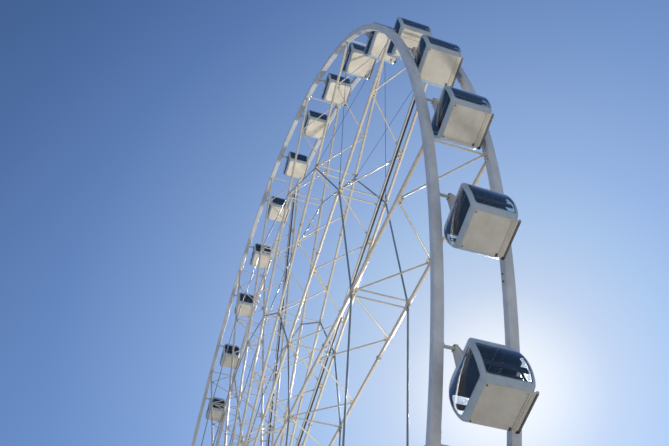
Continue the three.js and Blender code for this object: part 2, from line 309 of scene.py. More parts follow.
# The cabin lining is near black: painted shade for the dim inside of the cabin, seen through the windows.
liningLaminate = paintedSteel("laminate_darkened_as_painted_shade", "141b26", "0e141c", roughness=(0.4, 0.6), streak=0.1)
glass = tintedGlass("blue_grey_tinted_glass", "e2e8f0")
rubber = darkFitting("black_epdm_rubber", "17181a", "2c2d2f")
blackCoat = darkFitting("black_powder_coat", "232529", "4b4a48", metallic=0.2)
seatShell = darkFitting("moulded_polypropylene", "1b2029", "333a45", grit=40.0, roughness=(0.35, 0.55))
wireRope = galvanisedSteel("galvanised_wire_rope", "8c99ab", "687588", cell=0.02, roughness=(0.18, 0.3))
zinc = galvanisedSteel("galvanised_steel", "c3c6c8", "8d9194")
boltZinc = galvanisedSteel("dull_zinc_bolts", "6f6a63", "3b3835", cell=0.012, roughness=(0.45, 0.7))
treadPlate = chequerPlate("aluminium_tread_plate", "b9bcbe", "7d8082")
ledSleeve = lightStrip("rubber_light_strip", "141d33", "35425c")
print("materials ready")


# Camera, at the photograph's place: low, to the right of the wheel and a little on its near side
cameraSettings = {
    "place": (16.016, -3.923, 0.794), "turn": (152.606, 5.421, 72.466), "lens": 43.8,
    "rise": 62 / 669,  # the photograph's horizon side is cut off a little
}
s = Sizes(**cameraSettings)
cameraData = bpy.data.cameras.new("camera")
cameraData.sensor_width = 36.0
cameraData.lens = s.lens
cameraData.shift_y = s.rise
cameraData.clip_end = 500.0
scene.camera = linked("camera", cameraData)
scene.camera.location = s.place
scene.camera.rotation_euler = [radians(v) for v in s.turn]
scene.view_settings.view_transform = "Standard"


# Pale floor, soft sky-coloured surroundings, a soft key light and the light that a forecourt throws up
stageSettings = {
    "floorHalf": 600.0, "floorColours": ("e2d8c6", "d6cbb8"),
    "sunWay": (-0.451, 0.429, 0.783),  # towards the light
    "sunPower": 2.4, "sunColour": (1.0, 0.97, 0.92), "sunSpread": 4.0,
    "sky": [(0.0, "ffffff"), (0.02, "e9f1fd"), (0.04, "c5d7f3"), (0.065, "acc9ef"), (0.09, "99b8e8"), (0.13, "80a2d7"),
            (0.17, "6a8dc6"), (0.21, "5c7db3"), (0.27, "4d6d98"), (0.5, "6f88ad"), (1.0, "8fa3c0")],
    "haze": "c4d0df",
    "overhead": (0.244, 0.405, 0.707),  # taken off for each unit of height, so that the zenith is deeper
    "skyPower": 1.0, "bounceFrom": (1.6, 13.7, 0.4), "bounceTo": (9.8, 1.8, 20.5), "bounceCone": 60.0,
    "bouncePower": 36000.0, "bounceColour": (1.0, 0.93, 0.80),
}


def addLight(name, kind, toward, place=(0, 0, 0), **settings):
    data = bpy.data.lights.new(name, kind)
    for setting, value in settings.items():
        setattr(data, setting, value)
    light = linked(name, data)
    light.location = place
    light.rotation_euler = toward.to_track_quat("Z", "Y").to_euler()


def addStage():
    s = Sizes(**stageSettings)
    bm = bmesh.new()
    bmesh.ops.create_grid(bm, x_segments=1, y_segments=1, size=s.floorHalf)
    material, add, place = startMaterial("pale_floor", Roughness=0.9)
    finishMaterial(material, add("TexNoise", {"Vector": place, "Scale": 0.05, "Detail": 4.0}), s.floorColours)
    linked("floor", meshFrom(bm, "floor", [material], outward=False))
    way = Vector(s.sunWay).normalized()
    addLight("key", "SUN", way, energy=s.sunPower, angle=radians(s.sunSpread), color=s.sunColour)
    addLight("bounce", "SPOT", Vector(s.bounceFrom) - Vector(s.bounceTo), s.bounceFrom, energy=s.bouncePower,
             color=s.bounceColour, spot_size=radians(s.bounceCone), spot_blend=1.0, shadow_soft_size=3.0)
    world = bpy.data.worlds.new("surroundings")
    world.use_nodes = True
    scene.world = world
    tree = world.node_tree
    add = partial(addNode, tree)
    ray = add("TexCoord").outputs["Generated"]
    facing = add("VectorMath", {0: ray, 1: tuple(way)}, operation="DOT_PRODUCT").outputs["Value"]
    away = add("Math", {0: facing}, operation="ARCCOSINE")
    ramp = add("ValToRGB", {"Fac": add("Math", {0: away, 1: pi}, operation="DIVIDE")})
    stops = ramp.color_ramp.elements
    while len(stops) < len(s.sky):
        stops.new(0.5)
    for stop, (position, code) in zip(stops, s.sky):
        stop.position = position
        stop.color = hexColour(code)
    height = add("SeparateXYZ", {"Vector": ray}).outputs["Z"]
    above = add("MapRange", {"Value": height, "From Min": 0.6, "From Max": 1.0, "To Min": -0.2, "To Max": 0.2})
    deeper = add("VectorMath", {0: s.overhead, "Scale": above}, operation="SCALE")
    blue = add("VectorMath", {0: ramp, 1: deeper}, operation="SUBTRACT")
    low = add("MapRange", {"Value": height, "From Min": 0.0, "From Max": 0.35, "To Min": 1.0, "To Max": 0.0})
    sky = add("Mix", {0: low, 6: blue, 7: hexColour(s.haze)}, data_type="RGBA")
    tree.nodes["Background"].inputs["Strength"].default_value = s.skyPower
    tree.links.new(sky.outputs[2], tree.nodes["Background"].inputs["Color"])


addStage()
print("camera, floor and light ready")


# Rims: a welded box ring on each side, with a bearing collar for each cabin's pin
rimSettings = {
    "steps": 288, "edgeRound": 0.006,
    # at a frame and halfway between two frames: a plate along the rim, across it and thick, its bolts' places and size
    "plates": (((0.34, 0.100, 0.008), (-0.136, -0.068, 0.068, 0.136), (-0.03, 0.03), 0.0085),
               ((0.26, 0.096, 0.006), (-0.06, 0.06), (0.0,), 0.01105)),
    "collar": (0.0235, 0.042, 0.018),  # bore, outer radius and length of each bearing collar
    "collarBolts": (0.033, 6, 0.0045), "cap": (0.040, 0.006),
}


def addRim(side, name):
    s = Sizes(**rimSettings)
    rim, half = wheel.radius, wheel.rimBox / 2
    y = side * wheel.rimHalfGap
    inner, inward = y - side * half, -yAxis * side
    bm, fit = bmesh.new(), bmesh.new()
    # the ring's square section, with three points round each corner
    flat, edge, section = half - s.edgeRound, s.edgeRound, []
    for i, (a, b) in enumerate(((1, -1), (1, 1), (-1, 1), (-1, -1))):
        turns = [radians(90 * (i - 1) + 45 * step) for step in range(3)]
        section += [(rim + a * flat + edge * cos(turn), y + b * flat + edge * sin(turn)) for turn in turns]
    spun(bm, section, axle, s.steps, closed=True)
    for i in range(36):
        angle = wheel.firstFrame + wheel.cabinStep * i
        out, along = wheelWays(angle)
        size, steps, lifts, bolt = s.plates[i % 2]
        face = polar(rim, inner, angle) + inward * size[2] / 2
        block(bm, face, size, 0.002, directed(inward, along))
        for step, lift in product(steps, lifts):
            boltHead(fit, face + along * step + out * lift + inward * size[2] / 2, inward, bolt)
    bore, outer, length = s.collar
    for i in range(36):
        angle = wheel.firstFrame + wheel.cabinStep * (i + 0.5)
        end = inner - side * length
        spun(bm, [(bore, inner), (outer, inner), (outer, end), (bore, end)], polar(rim, 0, angle), 20, closed=True)
        boltCircle(fit, polar(rim, end, angle), inward, *s.collarBolts, start=30)
        disc(bm, polar(rim, y + side * (half + s.cap[1] / 2), angle), yAxis, *s.cap, 20)
    piece(name + "_ring", bm, [rimPaint], "wheel", [name], sharp=30)
    piece(name + "_bolts", fit, [boltZinc], "wheel")


addRim(-1, "near_rim")
addRim(1, "far_rim")
print("rims ready")


# Ladder frames: round tube chords, rungs, zigzag braces, and ties from frame to frame
frameSettings = {
    "chord": 0.033, "rung": 0.016, "rimRung": 0.0168, "rimCup": (0.046, 0.012), "brace": 0.016, "tie": 0.018,
    "tieSocket": (0.0252, 0.0189, 0.075, 0.135),  # its two radii and its ends, from the middle of the chord
    "tieLevels": (0.762, 0.49),  # parts of the wheel radius
    "innerRungs": (0.27,),
    "rungGap": 0.17,  # between the double rungs at the outer tie level
    "braceNear": (0.915, 0.762, 0.626, 0.49, 0.365, 0.24, 0.125),
    "braceFar": (1.0, 0.84, 0.695, 0.553, 0.425, 0.30, 0.18), "footPlate": (0.17, 0.10, 0.028),
    "headPlate": (0.15, 0.105, 0.016),
    "splices": (0.655, 0.345),  # where two lengths of chord are flanged together
    "flange": (0.050, 0.010), "flangeBolts": (0.041, 8, 0.005),
    "gusset": (0.20, 0.075, 0.010),  # along the chord, across it, thick
    "gussetShape": ((-0.5, 0.5), (0.5, 0.5), (0.28, -0.5), (-0.28, -0.5)),
    "tiePlate": (0.17, 0.19, 0.012),  # across the chord, along it, thick
    "cable": 0.0065,
    "turnbuckle": (0.10, 0.24, 2.2),  # its two ends from the cable's lower end, and its width in cables
    "cableEnd": (0.07, 2.0), "bolt": 0.010,
    "endBolts": ((-0.062, 0.062), (-0.033, 0.033)),  # on the plates at a chord's two ends
    "tiePlateBolts": ((-0.4, 0.4), (-0.36, 0.0, 0.36)),  # parts of the plate
    "stripEvery": 3,  # every third far chord carries a light strip
    "stripFirst": 2,
    "stripOff": (0.15, 0.045),  # the strip stands this far in from its chord and this far beside it
    "stripHooks": 9,
    # the strip, its carrier and its lead: place along the axle, wide, thick, corner radius and look
    "stripRows": ((0.020, 0.040, 0.018, 0.004, 0), (-0.014, 0.020, 0.014, 0.002, 0), (-0.038, 0.018, 0.010, 0.002, 1)),
    "cableBays": (2, 8, 14),  # only these bays are stiffened with crossed cables
}


def addLadderFrame(bm, fit, strip, number):
    s = Sizes(**frameSettings)
    rim = wheel.radius
    angle = wheel.firstFrame + wheel.frameStep * number
    out, across = wheelWays(angle)
    rimInside = 1 - wheel.rimBox / 2 / rim
    hubPart = wheel.hubFlange / rim
    for side in (-1, 1):
        foot, head = chordPlace(hubPart, side, angle), chordPlace(rimInside, side, angle)
        rod(bm, foot, head, s.chord, 16)
        block(bm, foot + out * s.footPlate[2] / 2, s.footPlate, 0.004, directed(out, across))
        block(bm, head - out * s.headPlate[2] / 2, s.headPlate, 0.003, directed(out, across))
        for stepX, stepY in product(*s.endBolts):
            boltHead(fit, foot + out * s.footPlate[2] + across * stepX + yAxis * stepY, out, s.bolt)
            boltHead(fit, head - out * s.headPlate[2] + across * stepX * 0.9 + yAxis * stepY, -out, s.bolt * 0.8)
        for part, way in product(s.splices, (-1, 1)):
            centre = chordPlace(part, side, angle)
            radius, thick = s.flange
            disc(bm, centre + out * way * thick * 0.55, out, radius, thick, 20)
            boltCircle(fit, centre + out * way * thick * 1.05, out * way, *s.flangeBolts)
        # plate in the wheel's plane that the ties and cables are pinned to
        for part in s.tieLevels:
            centre = chordPlace(part, side, angle)
            wide, high, thick = s.tiePlate
            block(bm, centre, s.tiePlate, 0.003, directed(yAxis, across))
            for step, lift, way in product(*s.tiePlateBolts, (-1, 1)):
                place = centre + across * wide * step + out * high * lift + yAxis * way * thick / 2
                boltHead(fit, place, yAxis * way, s.bolt * 0.9)
    gap = s.rungGap / 2 / rim
    for part in (s.tieLevels[0] - gap, s.tieLevels[0] + gap, s.tieLevels[1], *s.innerRungs):
        rod(bm, chordPlace(part, -1, angle), chordPlace(part, 1, angle), s.rung)
    reach = wheel.rimHalfGap - wheel.rimBox / 2
    rod(bm, polar(rim, -reach, angle), polar(rim, reach, angle), s.rimRung)
    for side in (-1, 1):
        disc(bm, polar(rim, side * (reach - 0.008), angle), yAxis, *s.rimCup, 16)
    ends = [end for near, far in zip(s.braceNear, s.braceFar) for end in ((far, 1), (near, -1))]
    places = [polar(rim, reach - 0.03, angle)] + [chordPlace(*end, angle) for end in ends[1:]]
    for start, end in zip(places, places[1:]):
        rod(bm, start, end, s.brace)
    for (_, side), place in zip(ends[1:], places[1:]):
        # gusset that the brace ends are bolted to, on the inner side of the chord
        length, wide, thick = s.gusset
        centre = place - yAxis * side * (s.chord + wide * 0.3)
        plate(bm, [centre + out * length * a + yAxis * side * wide * b for a, b in s.gussetShape], across, thick)
        for half, way in product((-1, 1), (-1, 1)):
            spot = centre + out * half * length * 0.22 - yAxis * side * wide * 0.1
            boltHead(fit, spot + across * way * s.brace, across * way, s.bolt * 0.9)
    if number % s.stripEvery == s.stripFirst:
        start, end = chordPlace(hubPart + 0.03, 1, angle), chordPlace(rimInside - 0.02, 1, angle)
        along = end - start
        inward, beside = s.stripOff
        turn = directed(along, yAxis)
        middle = (start + end) / 2 - yAxis * inward - across * beside
        for target, (lift, wide, thick, round, look) in zip((strip, bm, bm), s.stripRows):
            block(target, middle + yAxis * lift, (wide, thick, along.length), round, turn, look, 2)
        for i in range(s.stripHooks):
            place = start + along * (i + 0.5) / s.stripHooks - yAxis * inward * 0.55 - across * (beside - 0.014)
            block(bm, place, (0.012, 0.008, inward * 0.9), 0.002, directed(yAxis, along))


def addTies(bm, number):
    s = Sizes(**frameSettings)
    angle = wheel.firstFrame + wheel.frameStep * number
    wide, narrow, near, far = s.tieSocket
    for part, side in product(s.tieLevels, (-1, 1)):
        start, end = chordPlace(part, side, angle), chordPlace(part, side, angle + wheel.frameStep)
        along = (end - start).normalized()
        # look 1 is the tie paint, whose grey is painted shade
        rod(bm, start + along * 0.03, end - along * 0.03, s.tie, look=1)
        for place, way in ((start, along), (end, -along)):
            rod(bm, place + way * near, place + way * far, wide, 10, 1, narrow)


def addCables(bm, fit, number):
    # thin crossed cables in the plane of each rim, from a tie plate to the rim at the next frame
    s = Sizes(**frameSettings)
    angle = wheel.firstFrame + wheel.frameStep * number
    near, far, wide = s.turnbuckle
    for side, (here, there) in product((-1, 1), ((0, wheel.frameStep), (wheel.frameStep, 0))):
        start = chordPlace(s.tieLevels[0], side, angle + here)
        end = polar(wheel.radius - wheel.rimBox / 2, side * wheel.rimHalfGap, angle + there)
        along = (end - start).normalized()
        rod(bm, start, end, s.cable, 8, look=2)
        rod(fit, start + along * near, start + along * far, s.cable * wide, 8)
        rod(fit, end - along * s.cableEnd[0], end, s.cable * s.cableEnd[1], 8)


def addSpokeBay(bay):
    bm, fit, strip = bmesh.new(), bmesh.new(), bmesh.new()
    for number in (2 * bay, 2 * bay + 1):
        addLadderFrame(bm, fit, strip, number)
        addTies(bm, number)
        if number in frameSettings["cableBays"]:
            addCables(bm, fit, number)
    name = f"{bay + 1:02d}"
    piece("spoke_frames_" + name, bm, [whitePaint, tiePaintWithPaintedShade, wireRope], "wheel", ["spoke_bay_" + name])
    piece("spoke_fittings_" + name, fit, [boltZinc], "wheel")
    if strip.verts:
        piece("light_strip_" + name, strip, [ledSleeve], "wheel")


for bay in range(9):
    addSpokeBay(bay)
print("ladder frames ready")


# Cabins: all have one shape, made once about its pivot and copied to each
cabinSettings = {
    "drop": 1.099,  # pivot down to the underside of the floor
    "widths": [(0.0, 0.268), (0.025, 0.284), (0.10, 0.330), (0.26, 0.371), (0.43, 0.386), (0.60, 0.376),
               (0.77, 0.341), (0.89, 0.300)],
    "depths": [(0.0, 0.284), (0.025, 0.296), (0.10, 0.327), (0.26, 0.342), (0.43, 0.345), (0.60, 0.334),
               (0.77, 0.300), (0.89, 0.258)],
    "crown": [(0.018, 0.018), (0.028, 0.050), (0.034, 0.110)],  # rise over the last height, step inwards
    "steps": 20, "corner": 0.036, "wall": 0.016,
    "floorEdge": 0.03,  # up to here the skin has the underside's finish
    "sill": 0.104, "head": 0.660, "paneRound": 0.034,
    "sidePane": 0.056,  # left for the corner post beside each pane that faces along X
    "frontPane": 0.050,  # the same for the panes that face along Y
    "doorStile": 0.022, "glassSetback": 0.006, "glass": 0.006,
    "glassEdge": 0.010,  # a pane is this much larger than its window
}
cabin = Sizes(**cabinSettings)
cabinLooks = (cabinPaint, liningLaminate, undersidePaint, liningLaminate, rubber, whitePaint)
undersideLook, rubberLook, whiteLook = 2, 4, 5  # places in that list


def smoothValue(points, at):
    # a smooth curve through a few points
    keys = [points[0]] + points + [points[-1]]
    for (x0, y0), (x1, y1), (x2, y2), (x3, y3) in zip(keys, keys[1:], keys[2:], keys[3:]):
        if x1 <= at <= x2 and x2 > x1:
            t = (at - x1) / (x2 - x1)
            slopeA = (y2 - y0) / (x2 - x0) * (x2 - x1)
            slopeB = (y3 - y1) / (x3 - x1) * (x2 - x1)
            return ((2 * t**3 - 3 * t**2 + 1) * y1 + (t**3 - 2 * t**2 + t) * slopeA
                    + (3 * t**2 - 2 * t**3) * y2 + (t**3 - t**2) * slopeB)
    return points[-1][1]


def cabinSkin(inset):
    # a rounded rectangle lifted through the heights of the cabin, closed by its floor and roof
    height = cabin.widths[-1][0]
    sizes = [(z, smoothValue(cabin.widths, z) - inset, smoothValue(cabin.depths, z) - inset)
             for z in (height * i / cabin.steps for i in range(cabin.steps + 1))]
    z, x, y = sizes[-1]
    sizes += [(z + rise, x - step, y - step) for rise, step in cabin.crown]
    bm = bmesh.new()
    bmesh.ops.create_grid(bm, x_segments=1, y_segments=1, size=1)
    bmesh.ops.scale(bm, verts=bm.verts, vec=(sizes[0][1], sizes[0][2], 1))
    roundOff(bm, list(bm.verts), cabin.corner, 6)
    bm.faces.ensure_lookup_table()
    bm.faces[0].material_index = undersideLook
    ring = list(bm.edges)
    for (z0, x0, y0), (z1, x1, y1) in zip(sizes, sizes[1:]):
        made = bmesh.ops.extrude_edge_only(bm, edges=ring)["geom"]
        verts, ring = only(made, bmesh.types.BMVert), only(made, bmesh.types.BMEdge)
        bmesh.ops.scale(bm, verts=verts, vec=(x1 / x0, y1 / y0, 1))
        bmesh.ops.translate(bm, verts=verts, vec=(0, 0, z1 - z0))
        dye(verts, undersideLook if z1 < cabin.floorEdge else 0)
    bmesh.ops.contextual_create(bm, geom=ring, mat_nr=0)
    bmesh.ops.recalc_face_normals(bm, faces=bm.faces)
    return bm


def paneOutline(levels, post, inner=None):
    # a pane whose upright edges follow the cabin's curve, from its sill to its head
    heights = [cabin.sill + (cabin.head - cabin.sill) * i / 6 for i in range(7)]
    right = [(smoothValue(levels, z) - post, z) for z in heights]
    left = [(-u, z) for u, z in reversed(right)] if inner is None else [(inner, cabin.head), (inner, cabin.sill)]
    return right + left


def cutter(outline, across, toward, start, end):
    # a window shape with rounded corners, pushed through a wall
    bm = bmesh.new()
    verts = [bm.verts.new(across * u + toward * start + zAxis * v) for u, v in outline]
    bm.faces.new(verts)
    roundOff(bm, [vert for vert in verts if min(abs(vert.co.z - cabin.sill), abs(vert.co.z - cabin.head)) < 1e-5],
             cabin.paneRound, 5)
    made = bmesh.ops.extrude_face_region(bm, geom=list(bm.faces))["geom"]
    bmesh.ops.translate(bm, verts=only(made, bmesh.types.BMVert), vec=toward * (end - start))
    for face in bm.faces:
        face.material_index = rubberLook
    return linked("cutter", meshFrom(bm, "cutter"))


def cabinShellMesh():
    # the skin gets its wall, and the windows are cut through it
    shell = linked("cabin_shell", meshFrom(cabinSkin(0.0), "cabin_shell", cabinLooks, outward=False))
    wall = shell.modifiers.new("wall", "SOLIDIFY")
    wall.thickness = cabin.wall
    wall.offset = -1.0
    wall.use_even_offset = True
    wall.material_offset = 1
    leaf = paneOutline(cabin.widths, cabin.frontPane, cabin.doorStile)
    tools = [cutter(paneOutline(cabin.depths, cabin.sidePane), yAxis, xAxis, -0.6, 0.6),
             cutter(paneOutline(cabin.widths, cabin.frontPane), xAxis, yAxis, -0.6, -0.1),
             cutter(leaf, xAxis, yAxis, 0.1, 0.6),
             cutter([(-u, v) for u, v in reversed(leaf)], xAxis, yAxis, 0.1, 0.6)]
    for tool in tools:
        cut = shell.modifiers.new("window", "BOOLEAN")
        cut.operation = "DIFFERENCE"
        cut.solver = "EXACT"
        cut.object = tool
    made = bpy.data.meshes.new_from_object(shell.evaluated_get(bpy.context.evaluated_depsgraph_get()))
    for gone in [shell, *tools]:
        bpy.data.objects.remove(gone)
    return made


def keepInside(bm, planes):
    for place, out in planes:
        bmesh.ops.bisect_plane(bm, geom=[*bm.verts, *bm.edges, *bm.faces], plane_co=place, plane_no=out,
                               clear_outer=True)


def cabinGlassMesh():
    # each pane is a piece of the skin, set back a little, with its own thickness
    whole = bmesh.new()
    grow = cabin.glassEdge
    for toward, across, levels, post in ((xAxis, yAxis, cabin.depths, cabin.sidePane),
                                         (-xAxis, yAxis, cabin.depths, cabin.sidePane),
                                         (-yAxis, xAxis, cabin.widths, cabin.frontPane),
                                         (yAxis, xAxis, cabin.widths, cabin.frontPane)):
        bm = cabinSkin(cabin.glassSetback)
        half = max(smoothValue(levels, z) for z in (0.3, 0.4, 0.5)) - post + grow
        keepInside(bm, [(toward * 0.1, -toward), (zAxis * (cabin.sill - grow), -zAxis),
                        (zAxis * (cabin.head + grow), zAxis), (across * half, across), (-across * half, -across)])
        middles = {face: face.calc_center_median() for face in bm.faces}
        gone = [face for face, middle in middles.items()
                if abs(middle.dot(across)) > smoothValue(levels, middle.z) - cabin.corner * 0.55]
        bmesh.ops.delete(bm, geom=gone, context="FACES")
        bmesh.ops.solidify(bm, geom=list(bm.faces), thickness=-cabin.glass)
        part = meshFrom(bm, "pane")
        whole.from_mesh(part)
        bpy.data.meshes.remove(part)
    return meshFrom(whole, "cabin_glass", [glass], outward=False)


hangerSettings = {
    "base": (0.17, 0.48, 0.010), "beam": (0.060, 0.52, 0.050),
    "lug": (0.262, 0.026),  # middle plane and thickness of each lug plate
    "foot": (0.110, 0.82),  # half width of a plate and height of its lower edge
    "head": 0.058, "pin": 0.0225, "flange": (0.052, 0.012), "bolt": 0.008,
    "boltPlaces": ((-0.062, 0.062), (0.155, 0.225)),
}


def addHanger(bm, fit):
    # roof beam with two lug plates, and the pins that turn in the rims
    s, drop = Sizes(**hangerSettings), zAxis * cabin.drop
    top = cabin.widths[-1][0] + cabin.crown[-1][0] - 0.002
    block(bm, (0, 0, top + 0.003), s.base, 0.003, look=whiteLook)
    block(bm, (0, 0, top + 0.030), s.beam, 0.006, look=whiteLook, segments=2)
    (middle, thick), (half, low), (wide, long) = s.lug, s.foot, s.flange
    turns = [radians(a) for a in range(0, 181, 15)]
    arch = [(s.head * cos(turn), cabin.drop + s.head * sin(turn)) for turn in turns]
    for side in (-1, 1):
        out = yAxis * side
        face = out * (middle + thick / 2) + drop
        plate(bm, [(x, side * middle, z) for x, z in ((half, low), *arch, (-half, low))], yAxis, thick, whiteLook)
        disc(bm, face + out * long / 2, yAxis, wide, long, 28, look=whiteLook)
        boltCircle(fit, face + out * long, out, wide * 0.74, 4, s.bolt, start=45)
        rod(bm, face, out * (wheel.rimHalfGap - wheel.rimBox / 2 - 0.001) + drop, s.pin, 20, look=whiteLook)
        for x, y in product(*s.boltPlaces):
            boltHead(fit, (x, side * y, top + 0.008), zAxis, s.bolt)


benchSettings = {
    "half": 0.195,
    "outline": ((0.125, 0.03), (0.145, 0.185), (0.113, 0.215), (0.305, 0.209), (0.305, 0.185), (0.255, 0.03)),
    "rest": (0.022, 0.610, 0.105), "restPlace": (0.318, 0.350),
}


def addBench(fit, side):
    # moulded seat on a pedestal, and a wider low back rest against an end wall
    s = Sizes(**benchSettings)
    plate(fit, [(side * x, 0, z) for x, z in s.outline], yAxis, 2 * s.half, look=1)
    x, z = s.restPlace
    block(fit, (side * x, 0, z), s.rest, 0.008, look=1, segments=2)


# Small parts of a cabin. A row has a middle, a size, a corner radius and a look.
trimSettings = {
    "painted": (
        ((0, -0.026, -0.003), (0.524, 0.500, 0.006), 0.002, undersideLook),  # floor panel
        ((0, 0.250, -0.005), (0.524, 0.020, 0.010), 0.002, undersideLook),  # channel of the door gear
        ((0, 0.304, 0.010), (0.536, 0.068, 0.030), 0.003, undersideLook),  # door sill
        ((0.268, 0.330, 0.012), (0.034, 0.030, 0.026), 0.004, 0),  # door stop in body paint, lighter than the dark one at the other end: a painted highlight
        ((0, -0.14, 0.897), (0.46, 0.014, 0.008), 0.002, 0),  # ceiling lights
        ((0, 0.14, 0.897), (0.46, 0.014, 0.008), 0.002, 0)),
    "dark": (
        ((0, 0.322, -0.007), (0.530, 0.016, 0.006), 0.001, 2),  # sill's seal
        ((0, 0.341, 0.014), (0.540, 0.009, 0.040), 0.001, 0),  # sill's lip
        ((-0.262, 0.318, -0.002), (0.040, 0.044, 0.018), 0.003, 0),  # dark door stop
        ((-0.240, 0.212, -0.012), (0.046, 0.022, 0.012), 0.003, 0),
        ((-0.040, 0.34673, 0.20), (0.016, 0.014, 0.075), 0.004, 0),  # door handles
        ((0.040, 0.34673, 0.20), (0.016, 0.014, 0.075), 0.004, 0),
        ((0, 0.290, 0.610), (0.62, 0.030, 0.150), 0.005, 1),  # door gear's cover
        ((-0.215, 0.312, 0.34), (0.034, 0.018, 0.47), 0.004, 1),  # its guides
        ((0.215, 0.312, 0.34), (0.034, 0.018, 0.47), 0.004, 1)),
    "darkScrews": ((-0.240, -0.262), (0.240, -0.262), (-0.240, 0.212)), "brightScrew": (0.240, 0.212),
    "screw": (0.010, 0.006), "seamHeights": (0.27, 0.42, 0.57, 0.72, 0.87),
}


def addCabinTrim(bm, fit):
    s = Sizes(**trimSettings)
    for target, rows in ((bm, s.painted), (fit, s.dark)):
        for centre, size, round, look in rows:
            block(target, centre, size, round, look=look)
    # The screw at the light door stop's corner is in body paint as a painted highlight; the other three are dark.
    for target, (x, y) in ((bm, s.brightScrew), *((fit, place) for place in s.darkScrews)):
        disc(target, (x, y, -0.009), zAxis, *s.screw, 12)
    # rubber in the seam between the door's leaves
    spots = [Vector((0, smoothValue(cabin.depths, z) + 0.002, z)) for z in s.seamHeights]
    for start, end in zip(spots, spots[1:]):
        along = end - start
        block(fit, (start + end) / 2, (0.008, 0.008, along.length + 0.002), 0.002, directed(along, xAxis))


def addCabins():
    whole, extra, fit = bmesh.new(), bmesh.new(), bmesh.new()
    addHanger(extra, fit)
    addCabinTrim(extra, fit)
    for side in (-1, 1):
        addBench(fit, side)
    whole.from_mesh(cabinShellMesh())
    whole.from_mesh(meshFrom(extra, "cabin_extra"))
    shapes = ((meshFrom(whole, "cabin_shell_shape", cabinLooks, outward=False), "cabin_shell_", "cabin_shell"),
              (cabinGlassMesh(), "cabin_glass_", "tinted_glass"),
              (meshFrom(fit, "cabin_fittings_shape", (blackCoat, seatShell, boltZinc)), "cabin_fittings_",
               "dark_fitting"))
    for number in range(1, 37):
        name = f"{number:02d}"
        place = Matrix.Translation(Vector(frame["joints"][number]["pos_m"]) - zAxis * cabin.drop)
        for shape, start, slot in shapes:
            mesh = shape.copy()
            mesh.transform(place)
            piece(start + name, mesh, (), "cabin_body_" + name,
                  ["cabin_" + name] if slot == "cabin_shell" else ())


addCabins()
print("cabins ready")


# Hub: turned shaft with two flanges that the chords are bolted to, joined by a drum with ribs
hubSettings = {
    "outline": ((0.0, 1.2), (0.178, 1.2), (0.190, 1.188), (0.190, 0.746), (0.235, 0.716), (0.235, 0.668),
                (0.247, 0.656), (0.80, 0.656), (0.812, 0.646), (0.848, 0.646), (0.860, 0.634), (0.860, 0.558),
                (0.848, 0.546), (0.442, 0.546), (0.430, 0.534), (0.430, 0.06), (0.448, 0.045), (0.448, 0.0)),
    "steps": 108,
    "ribs": (((0.420, 0.550), (0.82, 0.550), (0.80, 0.516), (0.420, 0.22)),  # between drum and flange
             ((0.225, 0.652), (0.76, 0.652), (0.74, 0.676), (0.225, 0.711))),  # between flange and shoulder
    "ribCount": 18, "rib": 0.018,
    "boltCircles": ((0.656, 0.70, 36, 0.019, 5), (0.656, 0.33, 18, 0.019, 0), (1.206, 0.115, 8, 0.013, 0)),
    "endCap": (1.196, 0.150, 0.020),
}


def addHub():
    s = Sizes(**hubSettings)
    bm, fit = bmesh.new(), bmesh.new()
    spun(bm, [*s.outline, *((r, -y) for r, y in s.outline[-2::-1])], axle, s.steps, closed=False)
    bmesh.ops.remove_doubles(bm, verts=bm.verts, dist=1e-5)
    for i in range(s.ribCount):
        out, across = wheelWays(wheel.firstFrame + 360 / s.ribCount * (i + 0.5))
        for side, rib in product((-1, 1), s.ribs):
            plate(bm, [axle + out * r + yAxis * side * y for r, y in rib], across, s.rib)
    for side in (-1, 1):
        for y, radius, count, size, start in s.boltCircles:
            boltCircle(fit, axle + yAxis * side * y, yAxis * side, radius, count, size, start)
        y, radius, thick = s.endCap
        disc(fit, axle + yAxis * side * y, yAxis, radius, thick, 48)
    piece("hub_body", bm, [machinePaint], "wheel", ["hub"], sharp=25)
    piece("hub_bolts", fit, [boltZinc], "wheel")


addHub()
print("hub ready")


# Bearing housings on their saddles
bearingSettings = {
    "y": 0.95, "halfThick": 0.185, "radius": 0.375, "bore": 0.197, "steps": 96, "saddle": (1.52, 0.38, 0.35),
    "saddleMiddle": 15.925, "flange": 0.035, "web": 0.020, "webs": (-0.12, 0.12),
    "stiffeners": (-0.72, -0.45, -0.2, 0.2, 0.45, 0.72), "feet": 0.47, "foot": (0.20, 0.35, 0.06),
    "footBolts": (-0.11, 0.11),
    "cap": (0.10, 0.09, 0.055), "cover": (0.197, 0.285, 0.026), "coverBolts": (0.252, 12, 0.011), "bolt": 0.020,
}


